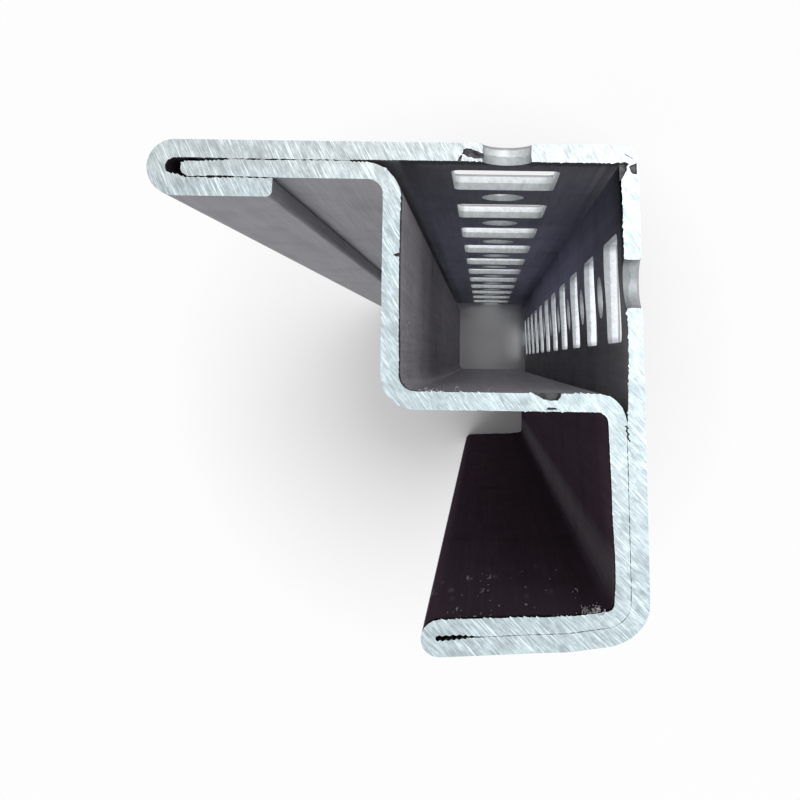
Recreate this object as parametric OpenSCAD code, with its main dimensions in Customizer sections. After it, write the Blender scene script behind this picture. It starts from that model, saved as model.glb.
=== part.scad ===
// Roll-formed steel frame profile: one strip folded into a closed box, a hemmed
// flange and a hemmed foot, with two rows of holes and slots along its length.
// It stands on end: +Z runs along the profile, +Y is the outward side of the wide
// wall and +X the outward side of the side wall. The origin is at the middle of the
// lower end.

/* [Strip] */
// Thickness of the steel strip
sheet = 2.0; // [1.5:0.1:2.5]
// Gap left between two layers that lie against each other
seam = 0.1; // [0.05:0.05:0.2]
// Length of the piece of profile
length = 275; // [100:25:600]

/* [Section] */
// Outer width of the wide wall, from the hem's nose to the corner
wall_w = 54; // [46:0.5:80]
// Outer height of the side wall, from the corner to the underside of the foot
side_h = 55.5; // [46:0.5:80]
// Width of the foot, from the side wall's outer face to its nose
foot_w = 25.2; // [18:0.2:30]
// Clear width of the closed box, along the wide wall
box_w = 24.0; // [22:0.1:27]
// Clear height of the closed box
box_h = 25.4; // [22:0.1:27]
// Width of the short lip, from the hem's nose to its rolled edge
lip_w = 13.8; // [8:0.2:20]
// How far the strip's inner edge stands back from the hem's nose
tuck = 3.7; // [3.3:0.1:6]
// Degrees by which the box's corner stands open past a right angle
spring_open = 2.3; // [0:0.1:2.5]

/* [Bends] */
// Inside radius between the wide wall and the side wall
corner_r = 0.3; // [0.1:0.1:1]
// Inside radius between the inner layer of the side wall and the foot
foot_r = 0.7; // [0.3:0.1:2]
// Inside radius between the inner layer of the side wall and the web
web_r = 1.2; // [0.5:0.1:2]
// Inside radius between the web and the inner wall of the box
inner_r = 1.9; // [0.5:0.1:3]
// Inside radius between the inner wall of the box and the tucked edge
tuck_r = 1.7; // [0.5:0.1:3]
// Radius of the rolled edge at the end of the lip
lip_edge_r = 0.7; // [0.2:0.1:1]

/* [Foot slit] */
// Height of the open slit inside the foot's hem
slit_h = 0.5; // [0.3:0.1:0.7]
// Length over which the slit narrows to the seam
slit_l = 4.5; // [2:0.1:8]
// Distance from the foot's nose to the start of the slit
slit_in = 1.5; // [1.2:0.1:1.9]

/* [Perforation] */
// Distance from one hole to the next along the profile
pitch = 25; // [22:0.5:30]
// Diameter of the round holes
hole_d = 5.5; // [4:0.1:7]
// Width of the slots across the wall
slot_w = 12.5; // [8:0.5:14]
// Length of the slots along the profile
slot_l = 13; // [8:0.5:14]
// Corner radius of the slots
slot_r = 1.0; // [0.5:0.1:2]
// Distance of the wide wall's row from the outer corner
wide_row = 14.4; // [13:0.1:16]
// Distance of the side wall's row from the outer corner
side_row = 15.2; // [13:0.1:16]
// Height of the first round hole's centre above the lower end
first_hole = 0.6; // [0:0.1:12]

/* [Hidden] */

// Sides of a full circle
$fn = 48;
// Angle of one facet on a bend
facet = 5;
// How far a cut runs past both faces of the wall that it goes through
over = 1;

// Centre lines of the layers that lie parallel to the wide wall
wall_y = -sheet / 2;
tuck_y = wall_y - sheet - seam;
lip_y = tuck_y - sheet - seam;
web_y = -sheet - box_h - sheet / 2;
hem_r = sheet / 2 + seam;
nose_x = -wall_w + sheet / 2;
inner_x = -sheet - box_w - sheet / 2;

// Centre lines of the layers that lie parallel to the side wall, before it leans
side_u = -sheet / 2;
back_u = side_u - sheet - seam;
foot_v = -side_h + sheet / 2;
foot_top_v = foot_v + sheet + seam;
foot_nose_u = -foot_w + sheet / 2;

// A point (u, v) of the side wall or the foot, turned about the outer corner
function lean(u, v) = [u * cos(spring_open) - v * sin(spring_open),
                       u * sin(spring_open) + v * cos(spring_open)];

// The point at height y on the leaning line u
function lean_at(u, y) = lean(u, (y - u * sin(spring_open)) / cos(spring_open));

// The folds of the strip's centre line, from the lip to the tucked edge
FOLD_AT = [
    [-wall_w + lip_w, lip_y],
    [nose_x, lip_y],
    [nose_x, wall_y],
    lean_at(side_u, wall_y),
    lean(side_u, foot_v),
    lean(foot_nose_u, foot_v),
    lean(foot_nose_u, foot_top_v),
    lean(back_u, foot_top_v),
    lean_at(back_u, web_y),
    [inner_x, web_y],
    [inner_x, tuck_y],
    [-wall_w + tuck + sheet / 2, tuck_y],
];
// The inside radius at each fold: none at the strip's two edges
FOLD_R = [0, hem_r, hem_r, corner_r, foot_r + sheet + seam, seam / 2, seam / 2,
          foot_r, web_r, inner_r, tuck_r, 0];
last = len(FOLD_AT) - 1;
foot_corner = 4;
foot_nose = 5;

function left_of(v) = [-v[1], v[0]];
function along(i) = (FOLD_AT[i + 1] - FOLD_AT[i]) / norm(FOLD_AT[i + 1] - FOLD_AT[i]);
function heading(i) = atan2(along(i)[1], along(i)[0]);

// The turn at fold i in degrees, left turns positive
function turn(i) = sign(cross(along(i - 1), along(i))) * acos(along(i - 1) * along(i));
function mid_r(i) = FOLD_R[i] + sheet / 2;

// Centre of the bend at fold i
function bend_centre(i) = FOLD_AT[i] - mid_r(i) * tan(abs(turn(i)) / 2) * along(i - 1)
    + sign(turn(i)) * mid_r(i) * left_of(along(i - 1));

// Points of an arc about centre c, from one angle through a sweep
function arc(c, r, from, sweep) =
    let (n = ceil(abs(sweep) / facet))
    [for (k = [0 : n]) c + r * [cos(from + sweep * k / n), sin(from + sweep * k / n)]];

// One face of the strip past all its bends: side is 1 for the left face, -1 for the right
function face(side) = [
    for (i = [1 : last - 1])
        each arc(bend_centre(i), mid_r(i) - side * sign(turn(i)) * sheet / 2,
                 heading(i - 1) - sign(turn(i)) * 90, turn(i))
];

// The lip's edge: square inside and rolled outside
LIP_EDGE = concat(
    [FOLD_AT[0] - sheet / 2 * left_of(along(0))],
    arc(FOLD_AT[0] + lip_edge_r * along(0) + (sheet / 2 - lip_edge_r) * left_of(along(0)),
        lip_edge_r, heading(0) + 180, -90));

// The tucked edge: fully round
TUCKED_EDGE = arc(FOLD_AT[last], sheet / 2, heading(last - 1) + 90, -180);

function reversed(list) = [for (i = [len(list) - 1 : -1 : 0]) list[i]];

OUTLINE = concat(LIP_EDGE, face(1), TUCKED_EDGE, reversed(face(-1)));

// Corners of the section's box: its right side is the bend into the foot, and its
// lowest point is the foot's nose
side_end_x = bend_centre(foot_corner)[0] + mid_r(foot_corner) + sheet / 2;
foot_low_y = bend_centre(foot_nose)[1] - mid_r(foot_nose) - sheet / 2;
middle = [(side_end_x - wall_w) / 2, foot_low_y / 2];

// Heights of the round holes, and of the slots half way between them
HOLE_Z = [for (z = first_hole; z < length + hole_d / 2; z = z + pitch) z];
SLOT_Z = [for (z = first_hole + pitch / 2; z < length - slot_l / 2; z = z + pitch) z];

// The slit inside the foot's hem, narrowing from a rounded end to the seam
module foot_slit() {
    slit_v = (foot_v + foot_top_v) / 2;
    rotate(spring_open)
        translate([-foot_w + slit_in + slit_h / 2, slit_v]) {
            circle(d = slit_h);
            polygon([[0, -slit_h / 2], [slit_l, -seam / 2], [slit_l, seam / 2], [0, slit_h / 2]]);
        }
}

// The folded strip seen along the profile
module section() {
    difference() {
        polygon(OUTLINE);
        foot_slit();
    }
}

// A slot's outline, with rounded corners
module slot_outline() {
    square([slot_w - 2 * slot_r, slot_l], center = true);
    square([slot_w, slot_l - 2 * slot_r], center = true);
    for (x = [-1, 1])
        for (y = [-1, 1])
            translate([x * (slot_w / 2 - slot_r), y * (slot_l / 2 - slot_r)])
                circle(r = slot_r);
}

// Cutters for a row of holes and slots, at a distance from the outer corner, through a
// wall whose outer face is at y = 0
module row_of_cuts(row) {
    depth = sheet + 2 * over;
    for (z = HOLE_Z)
        translate([-row, over, z])
            rotate([90, 0, 0])
                cylinder(h = depth, d = hole_d);
    for (z = SLOT_Z)
        translate([-row, over, z])
            rotate([90, 0, 0])
                linear_extrude(depth)
                    slot_outline();
}

module frame_profile() {
    color([0.72, 0.75, 0.77])
        translate([-middle[0], -middle[1], 0])
            difference() {
                linear_extrude(length)
                    section();
                row_of_cuts(wide_row);
                rotate([0, 0, spring_open])
                    mirror([1, -1, 0])
                        row_of_cuts(side_row);
            }
}

frame_profile();
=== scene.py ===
"""The look of a roll-formed steel frame profile that stands on its sawn end.

One strip of steel is folded into a closed box, a hemmed flange and a hemmed foot, and two of
its walls are punched with rows of holes and slots. Sizes in the classes are in millimetres,
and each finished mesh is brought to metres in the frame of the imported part.
"""

import logging
import math
import random
from collections.abc import Iterable
from dataclasses import dataclass, field
from enum import Enum
from functools import reduce

import bmesh
import bpy
from bmesh.types import BMEdge, BMesh, BMFace, BMVert
from bpy.types import Material, Node, NodeSocket, NodeTree, Object
from mathutils import Matrix, Vector, noise
from mathutils.bvhtree import BVHTree


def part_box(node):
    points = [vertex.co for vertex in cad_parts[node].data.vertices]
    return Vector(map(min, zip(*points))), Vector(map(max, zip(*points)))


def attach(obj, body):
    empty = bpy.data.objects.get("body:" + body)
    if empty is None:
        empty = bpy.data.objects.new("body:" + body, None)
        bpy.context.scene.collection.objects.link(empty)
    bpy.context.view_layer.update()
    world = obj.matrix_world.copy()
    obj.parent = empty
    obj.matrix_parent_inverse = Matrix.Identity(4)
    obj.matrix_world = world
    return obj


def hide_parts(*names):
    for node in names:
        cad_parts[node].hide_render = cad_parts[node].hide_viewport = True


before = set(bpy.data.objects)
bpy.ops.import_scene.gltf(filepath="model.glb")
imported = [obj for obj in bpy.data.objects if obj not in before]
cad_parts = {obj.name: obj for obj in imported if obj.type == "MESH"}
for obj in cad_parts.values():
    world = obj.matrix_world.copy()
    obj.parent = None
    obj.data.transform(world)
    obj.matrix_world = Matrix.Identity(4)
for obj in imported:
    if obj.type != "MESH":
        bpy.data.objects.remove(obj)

LOG = logging.getLogger("profile")
NODE = "frame_profile"
BODY = "root"
MM = 0.001
UP = Vector((0.0, 0.0, 1.0))

TINY = 1e-6
SAME_POINT = 0.001
SLIVER = 0.0002
STEEP = 0.5
SHARP = math.radians(28)

Pair = tuple[float, float]
Triple = tuple[float, float, float]
Value = NodeSocket | float | tuple[float, ...]
PLAIN: Triple = (1.0, 1.0, 1.0)


class Surface(Enum):
    """How a face of the profile was made. The value is its place in the list of finishes."""

    ROLLED = 0
    SAWN = 1
    SHEARED = 2
    TORN = 3
    SPLIT = 4


def left_of(way: Vector) -> Vector:
    """The direction a quarter turn to the left of a flat one."""
    return Vector((-way.y, way.x, 0.0))


def new_verts(made: dict) -> list[BMVert]:
    """The vertices in what an extrude operator returns."""
    return [g for g in made["geom"] if isinstance(g, BMVert)]


def once_each(items: Iterable) -> list:
    """The items once each, in the order in which they come, so that every run is the same."""
    return list(dict.fromkeys(items))


def extrude_on(
    bm: BMesh, faces: list[BMFace], way: Vector, closed: bool
) -> tuple[list[BMVert], list[BMFace]]:
    """Extrudes a cap of faces one step on.

    Args:
        bm: the bmesh.
        faces: the cap.
        way: how far and in which direction it goes.
        closed: keeps the old cap, as the closed start of the solid.

    Returns:
        The vertices and the faces of the new cap.
    """
    made = bmesh.ops.extrude_face_region(bm, geom=faces)
    verts = new_verts(made)
    bmesh.ops.translate(bm, verts=verts, vec=way)
    fresh = set(verts)
    cap = [g for g in made["geom"] if isinstance(g, BMFace) and fresh.issuperset(g.verts)]
    if not closed:
        bmesh.ops.delete(bm, geom=faces, context="FACES_KEEP_BOUNDARY")
    return verts, cap


def put_in_order(bm: BMesh) -> None:
    """Sorts a bmesh by where its parts lie. Some operators add faces in an order that changes
    from run to run, and what a cut makes of the same shape depends on that order.

    Args:
        bm: the bmesh. Its shape stays as it is.
    """
    for parts, place in (
        (bm.verts, lambda vert: vert.co[:]),
        (bm.edges, lambda edge: sorted(v.index for v in edge.verts)),
        (bm.faces, lambda face: sorted(v.index for v in face.verts)),
    ):
        ranks = {part: rank for rank, part in enumerate(sorted(parts, key=place))}
        parts.sort(key=ranks.get)
        parts.index_update()


def as_object(bm: BMesh, name: str, materials: list[Material]) -> Object:
    """Puts a bmesh in order and in a new object of the scene, and frees it.

    Args:
        bm: the finished bmesh.
        name: name of the object and of its mesh.
        materials: one for each place that the faces' material indices point at.

    Returns:
        The object, at the origin.
    """
    put_in_order(bm)
    mesh = bpy.data.meshes.new(name)
    bm.to_mesh(mesh)
    bm.free()
    for material in materials:
        mesh.materials.append(material)
    made = bpy.data.objects.new(name, mesh)
    bpy.context.scene.collection.objects.link(made)
    return made


@dataclass(frozen=True)
class Fold:
    """A fold of the strip's centre line, with the radius inside the bend."""

    at: Vector
    inside: float


@dataclass(frozen=True)
class Pull:
    """A place where the folded strip sprang away from its true line or thinned in a bend: what
    lies within reach of a point moves, and only the faces that look a given way if one is given.
    The more they look that way, the more they move: not at all when grazing, and all of it a rise
    further on."""

    at: Pair
    reach: Pair
    move: Pair
    facing: Pair | None = None
    grazing: float = 0.1
    rise: float = 0.7

    def weight(self, point: Vector, out: Vector) -> float:
        """How much of the move a point takes.

        Args:
            point: the point of the section.
            out: the way its face looks.

        Returns:
            The share, from 0 to 1.
        """
        faced = 1.0
        if self.facing:
            looks = out.dot(Vector((*self.facing, 0.0)))
            faced = min(1.0, max(0.0, (looks - self.grazing) / self.rise))
        across = (point.x - self.at[0]) / self.reach[0]
        up = (point.y - self.at[1]) / self.reach[1]
        return faced * max(0.0, 1.0 - across * across - up * up) ** 2


SETTLING = (
    Pull((-0.8, -54.3), (7.0, 6.5), (-0.15, 0.55)),
    Pull((-22.5, -54.5), (13.0, 9.0), (-0.12, -0.20)),
    Pull((-9.0, -51.2), (12.0, 1.6), (0.0, -0.22), (0.0, 1.0)),
    Pull((-2.4, -40.0), (1.3, 13.0), (0.20, 0.0), (-1.0, 0.0)),
    Pull((-2.1, -47.5), (1.5, 8.0), (0.28, 0.0), (-1.0, 0.0)),
    Pull((-1.1, -21.0), (1.8, 13.0), (0.36, 0.0), (-1.0, 0.0)),
    Pull((-1.7, -8.0), (1.4, 6.0), (0.12, 0.0), (-1.0, 0.0)),
    Pull((-1.8, -2.0), (1.6, 1.2), (0.0, 0.10), (0.0, -1.0)),
    Pull((-27.0, -3.2), (2.8, 2.8), (-0.20, -0.20), (0.7, 0.7)),
    Pull((-29.5, -2.1), (4.5, 0.8), (0.0, -0.16), (0.0, 1.0)),
    Pull((-26.0, -14.0), (0.9, 12.0), (-0.12, 0.0), (1.0, 0.0)),
    Pull((-41.0, -2.1), (16.0, 0.8), (0.0, -0.11), (0.0, 1.0)),
    Pull((-48.6, -2.1), (5.0, 0.8), (0.0, -0.20), (0.0, 1.0)),
    Pull((-46.0, -4.1), (8.0, 0.8), (0.0, 0.15), (0.0, -1.0)),
    Pull((-51.0, -4.1), (1.4, 0.9), (0.0, 0.38), (0.0, 1.0)),
)


@dataclass
class FoldedStrip:
    """The strip folded into its section and drawn out to length. Its frame has the outer corner
    at the origin, the wide wall to the left of it and the side wall below it."""

    sheet: float = 2.0
    seam: float = 0.1
    length: float = 275.0
    wall_w: float = 54.0
    side_h: float = 55.5
    foot_w: float = 25.2
    box_w: float = 24.0
    box_h: float = 25.4
    lip_w: float = 13.8
    tuck: float = 3.7
    spring_open: float = math.radians(2.3)
    corner_r: float = 0.3
    foot_r: float = 0.7
    web_r: float = 1.2
    inner_r: float = 1.9
    tuck_r: float = 1.7
    lip_edge_r: float = 0.7
    grain: float = 0.15
    facet: float = math.radians(5.0)
    rounded: float = 0.985
    round_steps: int = 9
    end_rings: tuple[float, ...] = (0.0, 0.07, 0.2, 0.5, 1.3, 4.0)
    long_ring: float = 70.0

    def lean(self, across: float, down: float) -> Vector:
        """A point of the side wall or the foot, turned about the outer corner."""
        return Matrix.Rotation(self.spring_open, 3, "Z") @ Vector((across, down, 0.0))

    def lean_at(self, across: float, height: float) -> Vector:
        """The point of the leaning line that stands at a height of the section."""
        turn = self.spring_open
        return self.lean(across, (height - across * math.sin(turn)) / math.cos(turn))

    def folds(self) -> list[Fold]:
        """Works out the folds of the centre line.

        Returns:
            The folds, from the lip's edge to the tucked edge.
        """
        half, layer = self.sheet / 2, self.sheet + self.seam
        wall_y = -half
        tuck_y, lip_y = wall_y - layer, wall_y - 2 * layer
        web_y = -self.sheet - self.box_h - half
        nose_x, inner_x = -self.wall_w + half, -self.sheet - self.box_w - half
        side_u, foot_v = -half, -self.side_h + half
        back_u, foot_top_v = side_u - layer, foot_v + layer
        foot_nose_u = -self.foot_w + half
        hem_r = half + self.seam
        return [
            Fold(Vector((-self.wall_w + self.lip_w, lip_y, 0)), 0.0),
            Fold(Vector((nose_x, lip_y, 0)), hem_r),
            Fold(Vector((nose_x, wall_y, 0)), hem_r),
            Fold(self.lean_at(side_u, wall_y), self.corner_r),
            Fold(self.lean(side_u, foot_v), self.foot_r + layer),
            Fold(self.lean(foot_nose_u, foot_v), self.seam / 2),
            Fold(self.lean(foot_nose_u, foot_top_v), self.seam / 2),
            Fold(self.lean(back_u, foot_top_v), self.foot_r),
            Fold(self.lean_at(back_u, web_y), self.web_r),
            Fold(Vector((inner_x, web_y, 0)), self.inner_r),
            Fold(Vector((inner_x, tuck_y, 0)), self.tuck_r),
            Fold(Vector((-self.wall_w + self.tuck + half, tuck_y, 0)), 0.0),
        ]

    def run(self, bm: BMesh, edge: BMEdge, way: Vector) -> BMEdge:
        """Extrudes the strip straight on.

        Args:
            bm: the section so far.
            edge: the edge across the strip's end.
            way: how far and in which direction it goes.

        Returns:
            The edge across the new end.
        """
        steps = max(1, round(way.length / self.grain))
        for _ in range(steps if way.length > TINY else 0):
            made = bmesh.ops.extrude_edge_only(bm, edges=[edge])
            verts = new_verts(made)
            bmesh.ops.translate(bm, verts=verts, vec=way / steps)
            edge = bm.edges.get(verts)
        return edge

    def bend(self, bm: BMesh, edge: BMEdge, centre: Vector, turn: float) -> BMEdge:
        """Spins the strip round a fold.

        Args:
            bm: the section so far.
            edge: the edge across the strip's end.
            centre: centre of the bend.
            turn: angle of the bend, positive to the left.

        Returns:
            The edge across the new end.
        """
        last = bmesh.ops.spin(
            bm, geom=[edge, *edge.verts], cent=centre, axis=UP, dvec=Vector(),
            angle=turn, steps=max(2, math.ceil(abs(turn) / self.facet)),
            use_merge=False, use_normal_flip=False, use_duplicate=False,
        )["geom_last"]
        return next(g for g in last if isinstance(g, BMEdge))

    def round_end(self, bm: BMesh, edge: BMEdge, way: Vector, corners: tuple[int, ...]) -> None:
        """Closes an end of the strip and rounds corners of it.

        Args:
            bm: the section so far.
            edge: the edge across the strip's end.
            way: from that edge to the very end, as long as the radius.
            corners: which of the edge's two vertices have their corner rounded, 0 or 1.
        """
        before = list(edge.verts)
        made = bmesh.ops.extrude_edge_only(bm, edges=[edge])
        verts = new_verts(made)
        bmesh.ops.translate(bm, verts=verts, vec=way)
        kept = [before[corner] for corner in corners]
        picked = [v for v in verts if any(e.other_vert(v) in kept for e in v.link_edges)]
        bmesh.ops.bevel(
            bm, geom=picked, offset=way.length * self.rounded, offset_type="OFFSET", affect="VERTICES",
            segments=self.round_steps, profile=0.5, material=-1, clamp_overlap=True,
        )

    def lay_section(self) -> BMesh:
        """Lays the strip's section out flat, fold by fold.

        Returns:
            The section as a flat ribbon of faces at height 0.
        """
        bm = bmesh.new()
        folds = self.folds()
        ways = [(b.at - a.at).normalized() for a, b in zip(folds, folds[1:])]
        here = folds[0].at + self.lip_edge_r * ways[0]
        sides = [bm.verts.new(here + side * self.sheet / 2 * left_of(ways[0])) for side in (1, -1)]
        edge = start = bm.edges.new(sides)
        for fold, way, after in zip(folds[1:-1], ways, ways[1:]):
            turn = math.atan2(way.cross(after).z, way.dot(after))
            radius = fold.inside + self.sheet / 2
            trim = radius * math.tan(abs(turn) / 2)
            edge = self.run(bm, edge, fold.at - trim * way - here)
            centre = fold.at - trim * way + math.copysign(radius, turn) * left_of(way)
            edge = self.bend(bm, edge, centre, turn)
            here = fold.at + trim * after
        edge = self.run(bm, edge, folds[-1].at - here)
        self.round_end(bm, edge, self.sheet / 2 * ways[-1], (0, 1))
        self.round_end(bm, start, -self.lip_edge_r * ways[0], (0,))
        bmesh.ops.remove_doubles(bm, verts=bm.verts, dist=SAME_POINT)
        self.settle(bm)
        bmesh.ops.recalc_face_normals(bm, faces=bm.faces)
        return bm

    @staticmethod
    def look_of(vert: BMVert) -> Vector:
        """Finds the way the section's outline looks at one of its points.

        Args:
            vert: a vertex of the flat section.

        Returns:
            The way out, of length 1, or 0 within the section.
        """
        total = Vector()
        for edge in (e for e in vert.link_edges if len(e.link_faces) == 1):
            first, last = (v.co for v in edge.verts)
            side = left_of(last - first).normalized()
            outward = (first + last) / 2 - edge.link_faces[0].calc_center_median()
            total += side if side.dot(outward) > 0 else -side
        return total.normalized()

    def settle(self, bm: BMesh) -> None:
        """Moves the flat section's points by every pull that reaches them.

        Args:
            bm: the flat section.
        """
        moves = {}
        for vert in bm.verts:
            out = self.look_of(vert)
            pulled = (pull.weight(vert.co, out) * Vector((*pull.move, 0.0)) for pull in SETTLING)
            moves[vert] = sum(pulled, Vector())
        for vert, move in moves.items():
            vert.co += move

    def heights(self) -> list[float]:
        """Spaces the rings along the profile.

        Returns:
            Their heights, close together at its two ends.
        """
        low = [0.0, *self.end_rings[1:]]
        high = [self.length - r for r in reversed(self.end_rings)]
        count = round((high[0] - low[-1]) / self.long_ring)
        between = [low[-1] + (high[0] - low[-1]) * k / count for k in range(1, count)]
        return low + between + high

    def build(self) -> BMesh:
        """Draws the section out to its whole length, ring by ring.

        Returns:
            The closed solid, with its two ends marked as sawn.
        """
        bm = self.lay_section()
        faces, height = list(bm.faces), 0.0
        for level in self.heights()[1:]:
            _, faces = extrude_on(bm, faces, (level - height) * UP, closed=height == 0.0)
            height = level
        bmesh.ops.recalc_face_normals(bm, faces=bm.faces)
        for face in bm.faces:
            face.material_index = (Surface.SAWN if abs(face.normal.z) > STEEP else Surface.ROLLED).value
        return bm


@dataclass(frozen=True)
class PunchStep:
    """A ring of a punch's cutter: its depth under the wall's outer face, how far it stands out
    from the nominal outline, the finish of the wall above it, and how ragged a round one is."""

    depth: float
    growth: float
    finish: Surface
    ragged: float = 0.0


@dataclass
class Punching:
    """The round holes and the slots that are punched through the two walls, from outside."""

    strip: FoldedStrip
    pitch: float = 25.0
    hole_d: float = 5.5
    slot_w: float = 12.5
    slot_l: float = 13.0
    slot_r: float = 1.0
    wide_row: float = 14.4
    side_row: float = 15.2
    first_hole: float = 0.6
    sides: int = 48
    corner_steps: int = 7
    rag_scale: float = 0.8
    steps: tuple[PunchStep, ...] = (
        PunchStep(3.0, 0.10, Surface.TORN),
        PunchStep(2.05, 0.07, Surface.TORN),
        PunchStep(1.10, 0.0, Surface.TORN, 0.35),
        PunchStep(0.32, 0.0, Surface.SHEARED),
        PunchStep(0.17, 0.03, Surface.ROLLED),
        PunchStep(0.06, 0.10, Surface.ROLLED),
        PunchStep(0.01, 0.19, Surface.ROLLED),
        PunchStep(-0.02, 0.27, Surface.ROLLED),
        PunchStep(-1.0, 0.27, Surface.ROLLED),
    )

    def heights(self, first: float, clear: float) -> list[float]:
        """The heights of a row's cuts, up to a distance from the upper end."""
        count = math.floor((self.strip.length - clear - first) / self.pitch) + 1
        return [first + self.pitch * k for k in range(count)]

    def outline(self, bm: BMesh, width: float, length: float) -> list[BMFace]:
        """Adds the outline of a slot or a round hole in the XY plane.

        Args:
            bm: the bmesh that all cutters go into.
            width: the slot's width, or the hole's diameter.
            length: the slot's length, or 0 for a round hole.

        Returns:
            The outline's face.
        """
        if length:
            verts = bmesh.ops.create_grid(bm, x_segments=1, y_segments=1, size=0.5)["verts"]
            bmesh.ops.scale(bm, verts=verts, vec=(width, length, 1.0))
            made = bmesh.ops.bevel(
                bm, geom=verts, offset=self.slot_r, offset_type="OFFSET", affect="VERTICES",
                segments=self.corner_steps, profile=0.5, material=-1,
            )
        else:
            made = bmesh.ops.create_circle(bm, cap_ends=True, segments=self.sides, radius=width / 2)
        return once_each(f for v in made["verts"] for f in v.link_faces)

    def cutter(self, bm: BMesh, width: float, length: float, place: Matrix) -> None:
        """Adds the cutter of one hole or slot.

        Args:
            bm: the bmesh that all cutters go into.
            width: the slot's width, or the hole's diameter.
            length: the slot's length, or 0 for a round hole.
            place: turns the outline to face out of the wall and moves it to its centre.
        """
        faces = self.outline(bm, width, length)
        start = once_each(v for f in faces for v in f.verts)
        bmesh.ops.translate(bm, verts=start, vec=-self.steps[0].depth * UP)
        everything, depth, size = list(start), self.steps[0].depth, 1.0
        for step in self.steps[1:]:
            verts, faces = extrude_on(bm, faces, (depth - step.depth) * UP, closed=step is self.steps[1])
            for vert in verts:
                at = self.rag_scale * (vert.co + place.translation)
                vert.co.z = (0.0 if length else step.ragged * noise.noise(at)) - step.depth
            across = (width + 2 * step.growth) / width / size
            bmesh.ops.scale(bm, verts=verts, vec=(across, across, 1.0))
            for wall in {f for v in verts for f in v.link_faces} - set(faces):
                wall.material_index = step.finish.value
            everything += verts
            depth, size = step.depth, size * across
        bmesh.ops.transform(bm, verts=everything, matrix=place)

    def build(self) -> BMesh:
        """Makes the cutters of both rows.

        Returns:
            One bmesh with a closed cutter for each hole and slot.
        """
        bm = bmesh.new()
        face_out = Matrix.Rotation(math.radians(-90), 4, "X")
        swap = Matrix(((0, 1, 0, 0), (1, 0, 0, 0), (0, 0, 1, 0), (0, 0, 0, 1)))
        side = Matrix.Rotation(self.strip.spring_open, 4, "Z") @ swap
        cuts = [(self.hole_d, 0.0, z) for z in self.heights(self.first_hole, -self.hole_d / 2)]
        first_slot = self.first_hole + self.pitch / 2
        cuts += [(self.slot_w, self.slot_l, z) for z in self.heights(first_slot, self.slot_l / 2)]
        for wall, row in ((Matrix.Identity(4), self.wide_row), (side, self.side_row)):
            for width, length, z in cuts:
                place = wall @ Matrix.Translation((-row, 0.0, z)) @ face_out
                self.cutter(bm, width, length, place)
        bmesh.ops.recalc_face_normals(bm, faces=bm.faces)
        return bm


def cut_away(target: Object, cutter: Object) -> None:
    """Takes one object's shape out of another and removes the cutter.

    Args:
        target: the object that is cut. Its mesh is replaced.
        cutter: the object that is taken out of it.
    """
    cut = target.modifiers.new("cut", "BOOLEAN")
    cut.operation, cut.solver, cut.object = "DIFFERENCE", "EXACT", cutter
    cut.material_mode = "INDEX"
    bpy.context.view_layer.update()
    graph = bpy.context.evaluated_depsgraph_get()
    done = bpy.data.meshes.new_from_object(target.evaluated_get(graph))
    target.modifiers.clear()
    old, target.data = target.data, done
    done.name = target.name
    bpy.data.meshes.remove(old)
    bpy.data.objects.remove(cutter)


@dataclass(frozen=True)
class Bite:
    """A place where the saw or a fold split the metal: an outline in the plane of the upper end,
    how deep it goes, how much its floor shrinks and how rough its walls are."""

    outline: tuple[Pair, ...]
    depth: float
    shrink: float = 0.7
    rough: float = 0.05


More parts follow.
